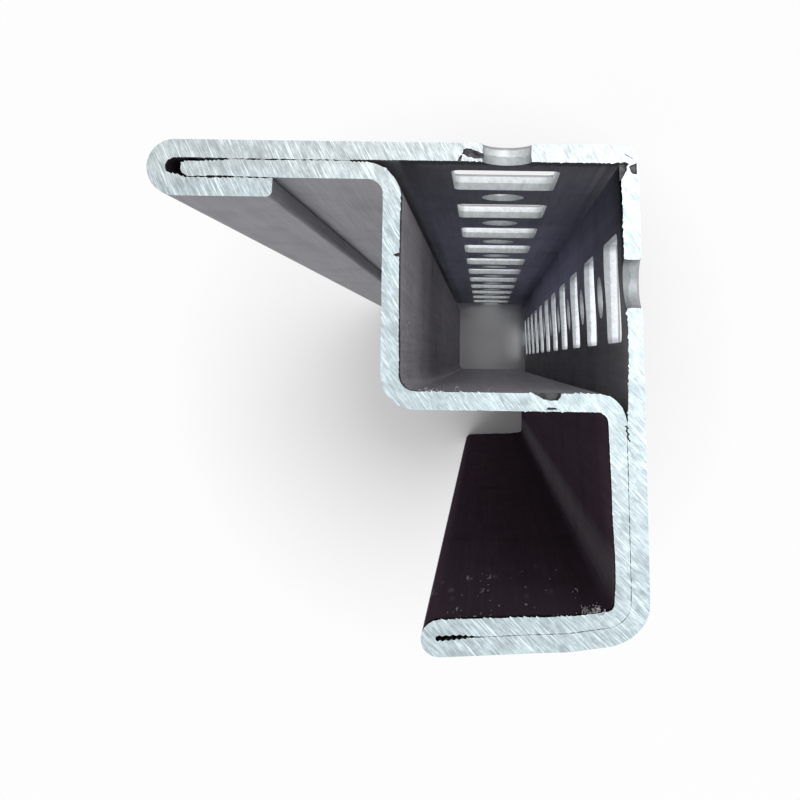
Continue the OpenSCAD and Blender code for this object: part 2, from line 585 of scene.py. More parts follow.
BITES = (
    # the nick beside the halved hole of the wide wall, and the crack that runs down from it
    Bite(((-19.47, -1.20), (-19.30, -0.68), (-18.93, -0.48), (-18.38, -0.56), (-17.83, -0.76),
          (-17.28, -1.02), (-16.40, -1.28), (-16.40, -1.78), (-17.6, -1.78), (-18.37, -1.66),
          (-18.98, -1.46)), 0.9, 0.45, 0.04),
    Bite(((-19.96, -2.2), (-19.76, -1.62), (-19.49, -1.20), (-19.26, -1.36), (-19.42, -1.72),
          (-19.50, -2.2)), 0.5, 0.6, 0.03),
    # the notch in the web, and the open arch under it
    Bite(((-11.3, -27.1), (-11.1, -27.5), (-10.53, -27.76), (-10.01, -28.05), (-9.21, -28.22),
          (-8.4, -28.17), (-8.2, -27.87), (-8.02, -27.5), (-8.02, -26.7), (-11.3, -26.7)), 0.8, 0.9, 0.05),
    Bite(((-9.85, -29.15), (-9.52, -28.96), (-8.98, -28.92), (-8.59, -29.02), (-8.42, -29.18),
          (-8.9, -29.2), (-9.5, -29.2)), 0.6, 0.8, 0.01),
    # the chip and the split at the corner between the two walls
    Bite(((-1.00, -2.3), (-0.61, -2.10), (-0.12, -1.90), (-0.07, -3.22), (-0.56, -3.22),
          (-0.88, -2.9), (-0.95, -2.61)), 0.45, 0.75, 0.05),
    Bite(((-3.41, -2.3), (-2.65, -2.08), (-1.88, -1.92), (-1.44, -1.84), (-1.00, -2.02),
          (-1.22, -2.39), (-1.22, -2.83), (-1.5, -3.28), (-1.75, -3.75), (-2.2, -4.2), (-3.41, -4.2)),
         1.2, 0.9, 0.04),
    # the split in the side wall, and the scratch at the corner
    Bite(((-0.97, -30.7), (-0.60, -31.05), (-0.82, -31.35), (-0.45, -31.75), (-0.66, -32.0),
          (-0.36, -32.7), (-0.50, -32.72), (-0.84, -32.1), (-0.66, -31.75), (-1.02, -31.4),
          (-0.86, -31.05), (-1.08, -30.8)), 0.3, 0.8, 0.01),
    Bite(((-1.58, -0.82), (-1.34, -1.04), (-0.95, -1.25), (-0.45, -1.53), (-0.49, -1.61),
          (-0.98, -1.34), (-1.38, -1.14), (-1.62, -0.9)), 0.05, 0.8, 0.01),
    # the nick in the box's inner wall
    Bite(((-26.82, -12.40), (-26.50, -12.24), (-26.20, -12.16), (-25.50, -12.10), (-25.50, -12.66),
          (-26.15, -12.62), (-26.48, -12.57)), 0.6, 0.85, 0.01),
)


@dataclass
class SawTears:
    """The cutters of the torn places, and of the open slit inside the foot's hem."""

    strip: FoldedStrip
    slit: tuple[Pair, ...] = (
        (-21.55, -54.62), (-21.32, -54.82), (-21.0, -54.66), (-20.75, -54.82), (-20.4, -54.62),
        (-20.1, -54.76), (-19.8, -54.56), (-19.5, -54.68), (-19.2, -54.48), (-18.9, -54.62),
        (-18.6, -54.42), (-18.3, -54.54), (-17.95, -54.34), (-17.5, -54.40), (-17.1, -54.28),
        (-16.4, -54.27), (-16.4, -54.20), (-17.2, -54.20), (-17.6, -54.10), (-17.9, -54.22),
        (-18.2, -54.02), (-18.5, -54.18), (-18.9, -54.00), (-19.25, -54.17), (-19.6, -54.04),
        (-20.0, -54.22), (-20.4, -54.10), (-20.8, -54.27), (-21.1, -54.14), (-21.5, -54.30),
    )
    over: float = 0.6
    levels: int = 4
    shake_scale: float = 2.3
    seed: int = 5

    def block(self, bm: BMesh, bite: Bite) -> None:
        """Adds the cutter of one torn place.

        Args:
            bm: the bmesh that all cutters go into.
            bite: the torn place.
        """
        top = self.strip.length + self.over
        before = set(bm.verts)
        verts = [bm.verts.new((x, y, top)) for x, y in bite.outline]
        faces = [bm.faces.new(verts)]
        about = Matrix.Translation(-sum((v.co for v in verts), Vector()) / len(verts))
        step = (bite.depth + self.over) / self.levels
        sizes = [1.0 - (1.0 - bite.shrink) * n ** 2 / self.levels ** 2 for n in range(self.levels + 1)]
        for level, (past, size) in enumerate(zip(sizes, sizes[1:])):
            fresh, faces = extrude_on(bm, faces, -step * UP, closed=level == 0)
            bmesh.ops.scale(bm, verts=fresh, vec=(size / past, size / past, 1.0), space=about)
        mine = [v for v in bm.verts if v not in before]
        edges = once_each(e for v in mine for e in v.link_edges)
        bmesh.ops.subdivide_edges(bm, edges=edges, cuts=1, use_grid_fill=True)
        mine = [v for v in bm.verts if v not in before]
        for vert in mine:
            shake = noise.noise_vector(vert.co * self.shake_scale + Vector((self.seed, 0, 0)))
            vert.co += bite.rough * shake
        faces = once_each(f for v in mine for f in v.link_faces)
        for face in faces:
            face.material_index = Surface.SPLIT.value
        bmesh.ops.triangulate(bm, faces=faces)

    def build(self) -> list[BMesh]:
        """Makes the cutters, in rounds in which no two of them touch.

        Returns:
            A bmesh for each round, with a closed cutter for each torn place in it. The last one
            has the slit's as well.
        """
        made = []
        # the vector noise would start from the clock if it weren't given a seed
        noise.seed_set(self.seed)
        for bites in (BITES[0::2], BITES[1::2]):
            bm = bmesh.new()
            for bite in bites:
                self.block(bm, bite)
            made.append(bm)
        self.block(made[-1], Bite(self.slit, self.strip.length + self.over, shrink=1.0, rough=0.0))
        for bm in made:
            bmesh.ops.recalc_face_normals(bm, faces=bm.faces)
        return made


@dataclass
class SawnEnds:
    """What the saw leaves at the two ends: a ragged burr along every edge, longest where the
    teeth break out. The wavers are a base, a swing and the scale of the noise that swings it."""

    strip: FoldedStrip
    blade: Vector = field(default_factory=lambda: Vector((118.0, 76.0, 0.0)))
    reach: float = 0.20
    even: float = 0.02
    comb: float = 2.1
    teeth: float = 1.7
    entering: float = 0.35
    slow: Triple = (0.0, 0.25, 0.35)
    drift: Triple = (0.0, 0.8, 0.9)
    strength: Triple = (0.5, 1.1, 1.0)
    stretch: Pair = (1.3, 0.2)
    smear: Triple = (-0.14, 0.9, 2.1)
    smear_edge: float = 0.05
    outside: float = 0.2
    share: float = 0.40
    tight: float = 0.23
    below: float = 0.35
    clear: float = 0.01
    look: float = 1.2
    across: float = 32.0
    drag: float = 1.4
    seed: int = 11

    @staticmethod
    def waver(kind: Triple, x: float, y: float, z: float) -> float:
        """The value of a waver at a point."""
        base, swing, scale = kind
        return base + swing * noise.noise(Vector((x, y, z)) * scale)

    def cutting(self, at: Vector) -> Vector:
        """The way the blade's teeth go at a point."""
        return left_of(at - self.blade).normalized() * -1.0

    def ragged(self, at: Vector, out: Vector) -> float:
        """Works out how far the burr stands out in the open.

        Args:
            at: the point.
            out: the way its wall looks.

        Returns:
            The reach of the burr, in millimetres.
        """
        radius = (at - self.blade).xy.length
        leave = self.entering + (1.0 - self.entering) * max(0.0, out.dot(self.cutting(at)))
        phase = radius * self.comb + self.waver(self.drift, at.x, at.y, 3.0)
        strength = self.waver(self.strength, radius * self.stretch[0], self.seed, at.y * self.stretch[1])
        tooth = max(0.0, strength) * (phase % 1.0) ** 2
        slow = self.waver(self.slow, at.x, at.y, self.seed)
        return self.reach * leave * (self.teeth * tooth + slow) - self.even

    def squeezed(self, at: Vector, reach: float, gap: float) -> float:
        """How far the burr stands out where another layer of the strip lies close.

        Args:
            at: the point.
            reach: how far the burr would stand out in the open.
            gap: the clear space in front of the point.

        Returns:
            The limited reach, which smears most of a tight seam shut.
        """
        if gap > self.tight:
            return min(reach, self.share * gap)
        smear = self.share + self.waver(self.smear, at.x, at.y, self.seed)
        return min(max(smear, self.smear_edge), self.share + self.smear_edge) * gap

    def roughen(self, bm: BMesh) -> None:
        """Pushes the edges of the sawn ends out of the walls by a ragged amount, and by less
        where another layer of the strip lies close.

        Args:
            bm: the punched profile in millimetres.
        """
        bm.normal_update()
        walls = BVHTree.FromBMesh(bm)
        moves = {}
        inward = {0.0: 1.0, self.strip.length: -1.0}
        for vert in bm.verts:
            end = min(inward, key=lambda z: abs(vert.co.z - z))
            if abs(vert.co.z - end) > SAME_POINT:
                continue
            if any(f.material_index == Surface.SPLIT.value for f in vert.link_faces):
                continue
            sides = [f.normal for f in vert.link_faces if abs(f.normal.z) < STEEP]
            out = Vector((sum(n.x for n in sides), sum(n.y for n in sides), 0.0))
            if out.length < TINY:
                continue
            out.normalize()
            start = vert.co + self.clear * out + self.below * inward[end] * UP
            gap = walls.ray_cast(start, out, self.across)[3]
            reach = self.ragged(vert.co, out) * (self.outside if gap is None else 1.0)
            way = self.cutting(vert.co)
            drag = (way - out * way.dot(out)) * max(0.0, way.dot(out))
            if gap is not None and gap < self.look:
                reach, drag = self.squeezed(vert.co, reach, gap), Vector()
            moves[vert] = out * reach + drag * max(reach, 0.0) * self.drag
        for vert, move in moves.items():
            vert.co += move


@dataclass(frozen=True)
class Litter:
    """A stretch of wall where the saw's chips lie: the points they fall from, between two ends,
    the way to the wall, how far they lie below the upper end, and how many there are."""

    ends: tuple[Pair, Pair]
    way: Pair
    below: Pair
    grains: int
    curls: int
    size: Pair = (0.2, 0.65)


LITTER = (
    # the recess: the foot, its bend and its far end
    Litter(((-21.0, -46.0), (-5.0, -46.0)), (0.0, -1.0), (0.6, 24.0), 22, 6, (0.2, 0.5)),
    Litter(((-5.1, -48.5), (-3.3, -48.5)), (0.0, -1.0), (0.2, 4.5), 24, 14, (0.22, 0.55)),
    Litter(((-17.5, -48.5), (-15.5, -48.5)), (0.0, -1.0), (12.0, 22.0), 6, 3, (0.3, 0.6)),
    # the box: its floor, its inner wall and the corner between them
    Litter(((-25.4, -24.0), (-15.0, -24.0)), (0.0, -1.0), (0.5, 12.0), 10, 4),
    Litter(((-20.0, -26.5), (-20.0, -19.0)), (-1.0, 0.0), (1.0, 14.0), 8, 3),
    Litter(((-25.4, -24.5), (-22.0, -24.5)), (0.0, -1.0), (1.5, 8.0), 6, 2, (0.4, 0.8)),
    # the web's underside
    Litter(((-10.3, -33.0), (-9.6, -33.0)), (0.0, 1.0), (0.05, 0.5), 3, 1, (0.15, 0.35)),
)


@dataclass
class SawChips:
    """The grains and curled chips that the saw threw onto the walls under the upper end."""

    strip: FoldedStrip
    sunk: float = 0.25
    squash: tuple[Pair, Pair, Pair] = ((0.5, 1.2), (0.4, 0.9), (0.3, 0.7))
    lumps: Pair = (0.7, 1.2)
    curl_size: float = 1.6
    curl_thick: float = 0.09
    curl_wide: Pair = (0.3, 0.6)
    curl_turn: Pair = (1.6, 5.4)
    curl_rise: float = 0.03
    curl_steps: int = 14
    seed: int = 29

    def grain(self, bm: BMesh, size: float, rng: random.Random) -> list[BMVert]:
        """Adds a squashed grain.

        Args:
            bm: the bmesh that all chips go into.
            size: its diameter.
            rng: the source of chance.

        Returns:
            Its vertices, about the origin.
        """
        verts = bmesh.ops.create_icosphere(bm, subdivisions=1, radius=size / 2)["verts"]
        squash = Vector([rng.uniform(*share) for share in self.squash])
        for vert in verts:
            vert.co *= rng.uniform(*self.lumps)
        bmesh.ops.scale(bm, verts=verts, vec=squash)
        return verts

    def curl(self, bm: BMesh, size: float, rng: random.Random) -> list[BMVert]:
        """Adds a chip that the tooth rolled up.

        Args:
            bm: the bmesh that all chips go into.
            size: its diameter.
            rng: the source of chance.

        Returns:
            Its vertices, about the origin.
        """
        before = set(bm.verts)
        verts = bmesh.ops.create_grid(bm, x_segments=1, y_segments=1, size=0.5)["verts"]
        wide = size * rng.uniform(*self.curl_wide)
        bmesh.ops.scale(bm, verts=verts, vec=(size * self.curl_thick, wide, 1.0))
        bmesh.ops.translate(bm, verts=verts, vec=(size / 2, 0.0, 0.0))
        rim = list(verts[0].link_faces[0].edges)
        last = bmesh.ops.spin(
            bm, geom=[*rim, *verts], cent=Vector(), axis=Vector((0.0, 1.0, 0.0)),
            dvec=Vector((0.0, size * self.curl_rise, 0.0)), angle=rng.uniform(*self.curl_turn),
            steps=self.curl_steps, use_merge=False, use_normal_flip=False, use_duplicate=False,
        )["geom_last"]
        bmesh.ops.edgeloop_fill(bm, edges=[g for g in last if isinstance(g, BMEdge)])
        return [v for v in bm.verts if v not in before]

    def build(self, walls: BVHTree) -> BMesh:
        """Drops every chip onto the wall that it lies on.

        Args:
            walls: the finished profile in millimetres.

        Returns:
            One bmesh with all the chips.
        """
        bm = bmesh.new()
        rng = random.Random(self.seed)
        for litter in LITTER:
            first, last = (Vector((*end, 0.0)) for end in litter.ends)
            for index in range(litter.grains + litter.curls):
                drop = litter.below[0] + (litter.below[1] - litter.below[0]) * rng.random() ** 2
                start = first.lerp(last, rng.random()) + (self.strip.length - drop) * UP
                place, normal, _, _ = walls.ray_cast(start, Vector((*litter.way, 0.0)))
                if place is None:
                    continue
                size = rng.uniform(*litter.size)
                if index < litter.grains:
                    verts = self.grain(bm, size, rng)
                else:
                    size *= self.curl_size
                    verts = self.curl(bm, size, rng)
                turned = Matrix.Rotation(rng.uniform(0.0, math.tau), 4, normal)
                stood = normal.to_track_quat("Z", "Y").to_matrix().to_4x4()
                seat = Matrix.Translation(place + normal * size * self.sunk)
                bmesh.ops.transform(bm, verts=verts, matrix=seat @ turned @ stood)
        bmesh.ops.recalc_face_normals(bm, faces=bm.faces)
        return bm


class Wiring:
    """Adds nodes to one node tree and joins them. A value may be a number, a colour or a socket."""

    def __init__(self, tree: NodeTree) -> None:
        """Keeps the tree that the nodes go into."""
        self.tree = tree

    def feed(self, socket: NodeSocket, value: Value) -> None:
        """Sets an input, or joins it to another node's output.

        Args:
            socket: the input.
            value: what it is set to or joined to.
        """
        if isinstance(value, NodeSocket):
            self.tree.links.new(value, socket)
        else:
            socket.default_value = value

    def add(self, kind: str, feeds: dict[str | int, Value] | None = None, **settings: object) -> Node:
        """Adds a node.

        Args:
            kind: the node's type name.
            feeds: value for each input, by name or number.
            **settings: the node's own properties.

        Returns:
            The new node.
        """
        node = self.tree.nodes.new(kind)
        for name, value in settings.items():
            setattr(node, name, value)
        for name, value in (feeds or {}).items():
            self.feed(node.inputs[name], value)
        return node

    def effect(self, tree: NodeTree, place: NodeSocket, feeds: dict[str, Value] | None = None) -> Node:
        """Uses a shared effect at a place."""
        return self.add("ShaderNodeGroup", {"Vector": place, **(feeds or {})}, node_tree=tree)

    def math(self, operation: str, *values: Value) -> NodeSocket:
        """The result of a Math node."""
        return self.add("ShaderNodeMath", dict(enumerate(values)), operation=operation).outputs[0]

    def product(self, *values: Value) -> NodeSocket:
        """The product of all the values."""
        return reduce(lambda total, value: self.math("MULTIPLY", total, value), values)

    def weighted(self, *parts: tuple[Value, Value]) -> NodeSocket:
        """The sum of pairs of a value and its weight."""
        return reduce(lambda total, part: self.math("MULTIPLY_ADD", *part, total), parts, 0.0)

    def vector(self, operation: str, *values: Value) -> NodeSocket:
        """The vector result of a Vector Math node."""
        return self.add("ShaderNodeVectorMath", dict(enumerate(values)), operation=operation).outputs[0]

    def parts(self, vector: NodeSocket) -> list[NodeSocket]:
        """The three parts of a vector."""
        return list(self.add("ShaderNodeSeparateXYZ", {0: vector}).outputs)

    def clamp(self, value: Value, low: Value, high: Value) -> NodeSocket:
        """Maps a value from between low and high to between 0 and 1."""
        feeds = {"Value": value, "From Min": low, "From Max": high}
        return self.add("ShaderNodeMapRange", feeds, clamp=True).outputs[0]

    def blend(self, factor: Value, first: Value, second: Value, blend_type: str = "MIX") -> NodeSocket:
        """Mixes two colours.

        Args:
            factor: the share of the second one.
            first: the first colour.
            second: the second one.
            blend_type: how they mix, as the Mix node names it.

        Returns:
            The mixed colour.
        """
        node = self.add("ShaderNodeMix", {0: factor}, data_type="RGBA", blend_type=blend_type)
        for index, colour in ((6, first), (7, second)):
            self.feed(node.inputs[index], colour if isinstance(colour, NodeSocket) else (*colour, 1.0))
        return node.outputs[2]

    def seen(self) -> NodeSocket:
        """Finds out whether the camera looks here, straight or by way of a reflection.

        Returns:
            A value of 1 where it does, and of 0 for every other ray.
        """
        rays = self.add("ShaderNodeLightPath").outputs
        mirrored = self.math("MAXIMUM", rays["Is Glossy Ray"], rays["Is Transmission Ray"])
        return self.math("MAXIMUM", rays["Is Camera Ray"], mirrored)

    def noise(self, vector: Value, scale: float, detail: float = 3.0, rough: float = 0.6) -> NodeSocket:
        """The value of a Noise Texture node."""
        feeds = {"Vector": vector, "Scale": scale, "Detail": detail, "Roughness": rough}
        return self.add("ShaderNodeTexNoise", feeds).outputs[0]


class SharedEffects:
    """The shader node groups that the finishes are made of. Lengths in them are in metres."""

    def __init__(self) -> None:
        """Builds each group once."""
        self.saw_marks = self.make_saw_marks()
        self.rolling_streaks = self.make_rolling_streaks()
        self.specks = self.make_specks()
        self.section_range = self.make_section_range()
        self.height_tone = self.make_height_tone()
        self.cut_grain = self.make_cut_grain()

    @staticmethod
    def start(name: str, inputs: dict[str, float]) -> tuple[Wiring, dict[str, NodeSocket]]:
        """Starts a node group that reads a Vector and some values.

        Args:
            name: name of the group.
            inputs: the named values and their defaults.

        Returns:
            The wiring of the group, and what it is given, by name.
        """
        tree = bpy.data.node_groups.new(name, "ShaderNodeTree")
        tree.interface.new_socket("Vector", in_out="INPUT", socket_type="NodeSocketVector")
        for label, value in inputs.items():
            socket = tree.interface.new_socket(label, in_out="INPUT", socket_type="NodeSocketFloat")
            socket.default_value = value
        w = Wiring(tree)
        return w, {s.name: s for s in w.add("NodeGroupInput").outputs if s.name}

    @staticmethod
    def end(w: Wiring, made: dict[str, NodeSocket]) -> NodeTree:
        """Ends a node group.

        Args:
            w: its wiring.
            made: what it puts out, by name.

        Returns:
            The group.
        """
        for label in made:
            w.tree.interface.new_socket(label, in_out="OUTPUT", socket_type="NodeSocketFloat")
        w.add("NodeGroupOutput", made)
        return w.tree

    def make_saw_marks(self) -> NodeTree:
        """Scratches of a round saw blade: short arcs about the blade's centre, fine and broad,
        with a few long ones, over a soft mottle.

        Returns:
            The group.
        """
        w, given = self.start("saw_marks", {"Centre X": 0.144, "Centre Y": 0.104})
        centre = w.add("ShaderNodeCombineXYZ", {"X": given["Centre X"], "Y": given["Centre Y"]}).outputs[0]
        x, y, _ = w.parts(w.vector("SUBTRACT", given["Vector"], centre))
        reach = w.math("SQRT", w.math("ADD", w.product(x, x), w.product(y, y)))
        angle = w.math("ARCTAN2", y, x)
        made = {}
        for label, across, along, seed in (
            ("Fine", 7000.0, 110.0, 0.0), ("Broad", 1700.0, 70.0, 5.0), ("Long", 5200.0, 36.0, 9.0),
        ):
            arc = {"X": w.product(reach, across), "Y": w.product(angle, along), "Z": seed}
            made[label] = w.noise(w.add("ShaderNodeCombineXYZ", arc).outputs[0], 1.0)
        made["Mottle"] = w.noise(given["Vector"], 1100.0, 4.0, 0.65)
        made["Height"] = w.weighted((made["Fine"], 0.6), (made["Long"], 0.5), (made["Broad"], 0.8))
        return self.end(w, made)

    def make_rolling_streaks(self) -> NodeTree:
        """Streaks that run along the strip, as the rolls leave them.

        Returns:
            The group.
        """
        w, given = self.start("rolling_streaks", {})
        drawn = w.vector("MULTIPLY", given["Vector"], (1.0, 1.0, 0.03))
        streak = w.weighted((w.noise(drawn, 2600.0), 0.6), (w.noise(drawn, 500.0, 2.0, 0.5), 0.4))
        return self.end(w, {"Streak": streak, "Cloud": w.noise(given["Vector"], 90.0, 4.0)})

    def make_specks(self) -> NodeTree:
        """Small separate specks of dust and swarf, in loose clusters.

        Returns:
            The group.
        """
        w, given = self.start("specks", {"Scale": 900.0, "Amount": 0.35})
        drawn = w.vector("MULTIPLY", given["Vector"], (1.0, 1.0, 0.3))
        feeds = {"Vector": drawn, "Scale": given["Scale"], "Randomness": 1.0}
        cells = w.add("ShaderNodeTexVoronoi", feeds).outputs
        near = w.clamp(cells["Distance"], 0.45, 0.10)
        pick = w.add("ShaderNodeSeparateColor", {0: cells["Color"]}).outputs[0]
        rare = w.math("LESS_THAN", pick, given["Amount"])
        drift = w.clamp(w.noise(given["Vector"], 120.0, 2.0, 0.5), 0.45, 0.65)
        return self.end(w, {"Mask": w.product(near, rare, drift)})

    def make_section_range(self) -> NodeTree:
        """A mask of 1 in a range of the section, which fades over its soft edge.

        Returns:
            The group.
        """
        inputs = {"Low X": -1.0, "Low Y": -1.0, "High X": 1.0, "High Y": 1.0, "Soft": 0.001}
        w, given = self.start("section_range", inputs)
        sides = []
        for axis, part in zip("XY", w.parts(given["Vector"])):
            low, high = given[f"Low {axis}"], given[f"High {axis}"]
            sides.append(w.clamp(part, low, w.math("ADD", low, given["Soft"])))
            sides.append(w.clamp(part, high, w.math("SUBTRACT", high, given["Soft"])))
        return self.end(w, {"Mask": w.product(*sides)})

    def make_height_tone(self) -> NodeTree:
        """A tone that changes between two pairs of heights, whose lines are as uneven as asked.

        Returns:
            The group.
        """
        inputs = {"Tone": 1.0, "Ragged": 0.0}
        for number in (1, 2):
            inputs |= {f"Start {number}": 0.0, f"End {number}": 1.0, f"Change {number}": 0.0}
        w, given = self.start("height_tone", inputs)
        uneven = w.noise(given["Vector"], 1500.0)
        height = w.math("MULTIPLY_ADD", uneven, given["Ragged"], w.parts(given["Vector"])[2])
        tone = given["Tone"]
        for number in (1, 2):
            level = w.clamp(height, given[f"Start {number}"], given[f"End {number}"])
            tone = w.math("MULTIPLY_ADD", level, given[f"Change {number}"], tone)
        return self.end(w, {"Tone": tone})

    def make_cut_grain(self) -> NodeTree:
        """The grain of a punched, torn or broken face.

        Returns:
            The group.
        """
        w, given = self.start("cut_grain", {})
        grain = w.noise(given["Vector"], 900.0, 4.0, 0.65)
        return self.end(w, {"Mask": w.clamp(grain, 0.35, 0.65), "Height": grain})


@dataclass(frozen=True)
class Zone:
    """A range of the section, in metres of the frame, where a finish has another tone and tint.

    Each of its levels, two at most, changes the tone between two heights above the lower end,
    which are as uneven as it is ragged. The sheen is how metallic a rolled skin is in it.
    """

    low: Pair
    high: Pair
    tone: float = 1.0
    tint: Triple = PLAIN
    soft: float = 0.001
    sheen: float = 0.0
    levels: tuple[Triple, ...] = ()
    ragged: float = 0.0

    def mask(self, w: Wiring, effects: SharedEffects, place: NodeSocket) -> NodeSocket:
        """Masks the zone.

        Args:
            w: the material's wiring.
            effects: the shared effects.
            place: the object's own coordinates.

        Returns:
            A value of 1 within the zone and 0 outside it.
        """
        feeds = {"Soft": self.soft}
        for label, corner in (("Low", self.low), ("High", self.high)):
            feeds |= {f"{label} X": corner[0], f"{label} Y": corner[1]}
        return w.effect(effects.section_range, place, feeds).outputs["Mask"]

    def shade(self, w: Wiring, effects: SharedEffects, place: NodeSocket) -> NodeSocket:
        """Works out the colour that the finish is multiplied by within the zone.

        Args:
            w: the material's wiring.
            effects: the shared effects.
            place: the object's own coordinates.

        Returns:
            The tint in its tone.
        """
        tone = (self.tone, self.tone, self.tone)
        if self.levels:
            feeds = {"Tone": self.tone, "Ragged": self.ragged}
            for number, level in enumerate(self.levels, 1):
                feeds |= zip((f"Start {number}", f"End {number}", f"Change {number}"), level)
            tone = w.effect(effects.height_tone, place, feeds).outputs["Tone"]
        return w.blend(1.0, self.tint, tone, "MULTIPLY")


@dataclass(frozen=True)
class Finish:
    """A finish of bare steel: what every one of them shares. Its depth is that of its relief."""

    name: str
    dark: Triple
    light: Triple
    roughness: float
    rough_spread: float
    bump: float
    metallic: float = 1.0
    depth: float = 0.0001
    zones: tuple[Zone, ...] = ()

    def start(self) -> tuple[Material, Wiring, Node, NodeSocket]:
        """Starts the material.

        Returns:
            The material, its wiring, its shader and the object's own coordinates.
        """
        material = bpy.data.materials.new(self.name)
        material.use_nodes = True
        material.diffuse_color = (*self.light, 1.0)
        material.node_tree.nodes.clear()
        w = Wiring(material.node_tree)
        shader = w.add("ShaderNodeBsdfPrincipled", {"Metallic": self.metallic})
        w.add("ShaderNodeOutputMaterial", {"Surface": shader.outputs[0]})
        return material, w, shader, w.add("ShaderNodeTexCoord").outputs["Object"]

    def zoned(
        self, w: Wiring, effects: SharedEffects, place: NodeSocket, steel: NodeSocket
    ) -> tuple[NodeSocket, list[NodeSocket]]:
        """Lays every zone over a colour.

        Args:
            w: the material's wiring.
            effects: the shared effects.
            place: the object's own coordinates.
            steel: the colour without zones.

        Returns:
            The colour, and the mask of each zone.
        """
        masks = [zone.mask(w, effects, place) for zone in self.zones]
        for zone, mask in zip(self.zones, masks):
            shaded = w.blend(1.0, steel, zone.shade(w, effects, place), "MULTIPLY")
            steel = w.blend(mask, steel, shaded)
        return steel, masks

    def surface(
        self, w: Wiring, shader: Node, colour: NodeSocket, wear: NodeSocket, height: NodeSocket
    ) -> None:
        """Feeds the shader.

        Args:
            w: the material's wiring.
            shader: its shader.
            colour: the base colour.
            wear: varies the roughness, between 0 and 1.
            height: goes to the normal through a Bump node.
        """
        rough = w.math("MULTIPLY_ADD", wear, self.rough_spread, self.roughness - self.rough_spread / 2)
        bump = w.add("ShaderNodeBump", {"Strength": self.bump, "Distance": self.depth, "Height": height})
        feeds = {"Base Color": colour, "Roughness": rough, "Normal": bump.outputs[0]}
        for label, value in feeds.items():
            w.feed(shader.inputs[label], value)


# painted shade under the upper end, painted light from the slots further down, and a blue painted
# reflection
PAINTED_SHADE_AND_GLOW = {"tone": 0.12, "tint": (0.93, 1.0, 1.21), "soft": 0.0008, "sheen": 0.2,
        "levels": ((0.272, 0.203, 1.4), (0.130, 0.060, -0.6))}
BOX = ((-0.0010, 0.0002), (0.0252, 0.0268))
RECESS = ((-0.0012, -0.0262), (0.0250, -0.0004))


@dataclass(frozen=True)
class RolledFinish(Finish):
    """The strip's own skin: mill steel with streaks along it, clean outside, dull and with painted shade
    and painted reflections inside the box, and nearly black with painted shade and a purple painted
    reflection in the recess over the foot, where the saw's dust has stuck to it."""

    depth: float = 0.00004
    zones: tuple[Zone, ...] = (
        # inside the box: painted shade and a purple painted reflection; then its side wall and wide wall,
        # lower side wall and inner wall
        Zone(*BOX, tone=0.90, tint=(1.0, 0.93, 1.0), sheen=0.2),
        Zone((0.0222, 0.0060), (0.0252, 0.0268), **PAINTED_SHADE_AND_GLOW),
        Zone((-0.0010, 0.0252), (0.0228, 0.0268), **PAINTED_SHADE_AND_GLOW),
        # a purple painted reflection on the lower side wall
        Zone((0.0222, 0.0002), (0.0252, 0.0075), tint=(1.0, 0.82, 1.02), soft=0.0008, sheen=0.7),
        # painted shade further down the inner wall, eased a little lower still
        Zone((-0.0010, 0.0002), (0.0012, 0.0268), soft=0.0008, sheen=0.2,
             levels=((0.250, 0.205, -0.42), (0.190, 0.150, 0.12))),
        # the painted shadow of the burr: a dark ragged line under the saw cut, in the box and in the
        # recess
        Zone(*BOX, sheen=0.7, levels=((0.2736, 0.2746, -0.8),), ragged=0.0024),
        Zone(*RECESS, sheen=0.7, levels=((0.2745, 0.2752, -0.8),), ragged=0.0014),
        # the recess: painted shade and a purple painted reflection; then more painted shade on its bend
        # into the foot
        Zone(*RECESS, tone=0.14, tint=(1.0, 0.68, 0.90), sheen=0.02),
        Zone((0.0185, -0.0262), (0.0245, -0.0180), tone=0.75, soft=0.003, sheen=0.02),
        # painted shade with a purple painted reflection inside the hem of the flange
        Zone((-0.0266, 0.0232), (-0.0226, 0.0266), tone=0.15, tint=(1.0, 0.85, 0.93),
             soft=0.0002, sheen=0.1),
    )
    streaks: Pair = (0.3, 0.7)
    clouds: Pair = (0.5, 0.72)
    oil: Triple = (0.05, 0.042, 0.05)
    oily: float = 0.2
    edge: Triple = (0.35, 0.33, 0.36)
    dust: Triple = (0.17, 0.15, 0.16)
    dusty_heights: Pair = (0.238, 0.272)
    dusty_across: Pair = (0.0205, 0.0195)

    def dress(self, effects: SharedEffects) -> Material:
        """Builds the material.

        Args:
            effects: the shared effects.

        Returns:
            The material.
        """
        material, w, shader, place = self.start()
        w.feed(shader.inputs["Specular Tint"], (*self.edge, 1.0))
        w.feed(shader.inputs["Specular IOR Level"], 0.0)
        rolled = w.effect(effects.rolling_streaks, place).outputs
        steel = w.blend(w.clamp(rolled["Streak"], *self.streaks), self.dark, self.light)
        steel = w.blend(w.product(w.clamp(rolled["Cloud"], *self.clouds), self.oily), steel, self.oil)
        steel, masks = self.zoned(w, effects, place, steel)
        sheen, inside = self.metallic, 0.0
        for zone, mask in zip(self.zones, masks):
            sheen = w.math("MULTIPLY_ADD", mask, zone.sheen - self.metallic, sheen)
            inside = w.math("MAXIMUM", inside, mask)
        w.feed(shader.inputs["Metallic"], sheen)
        x, _, z = w.parts(place)
        specks = w.effect(effects.specks, place).outputs["Mask"]
        dusty = w.product(specks, w.clamp(z, *self.dusty_heights), w.clamp(x, *self.dusty_across), inside)
        self.surface(w, shader, w.blend(dusty, steel, self.dust), rolled["Cloud"], rolled["Streak"])
        return material


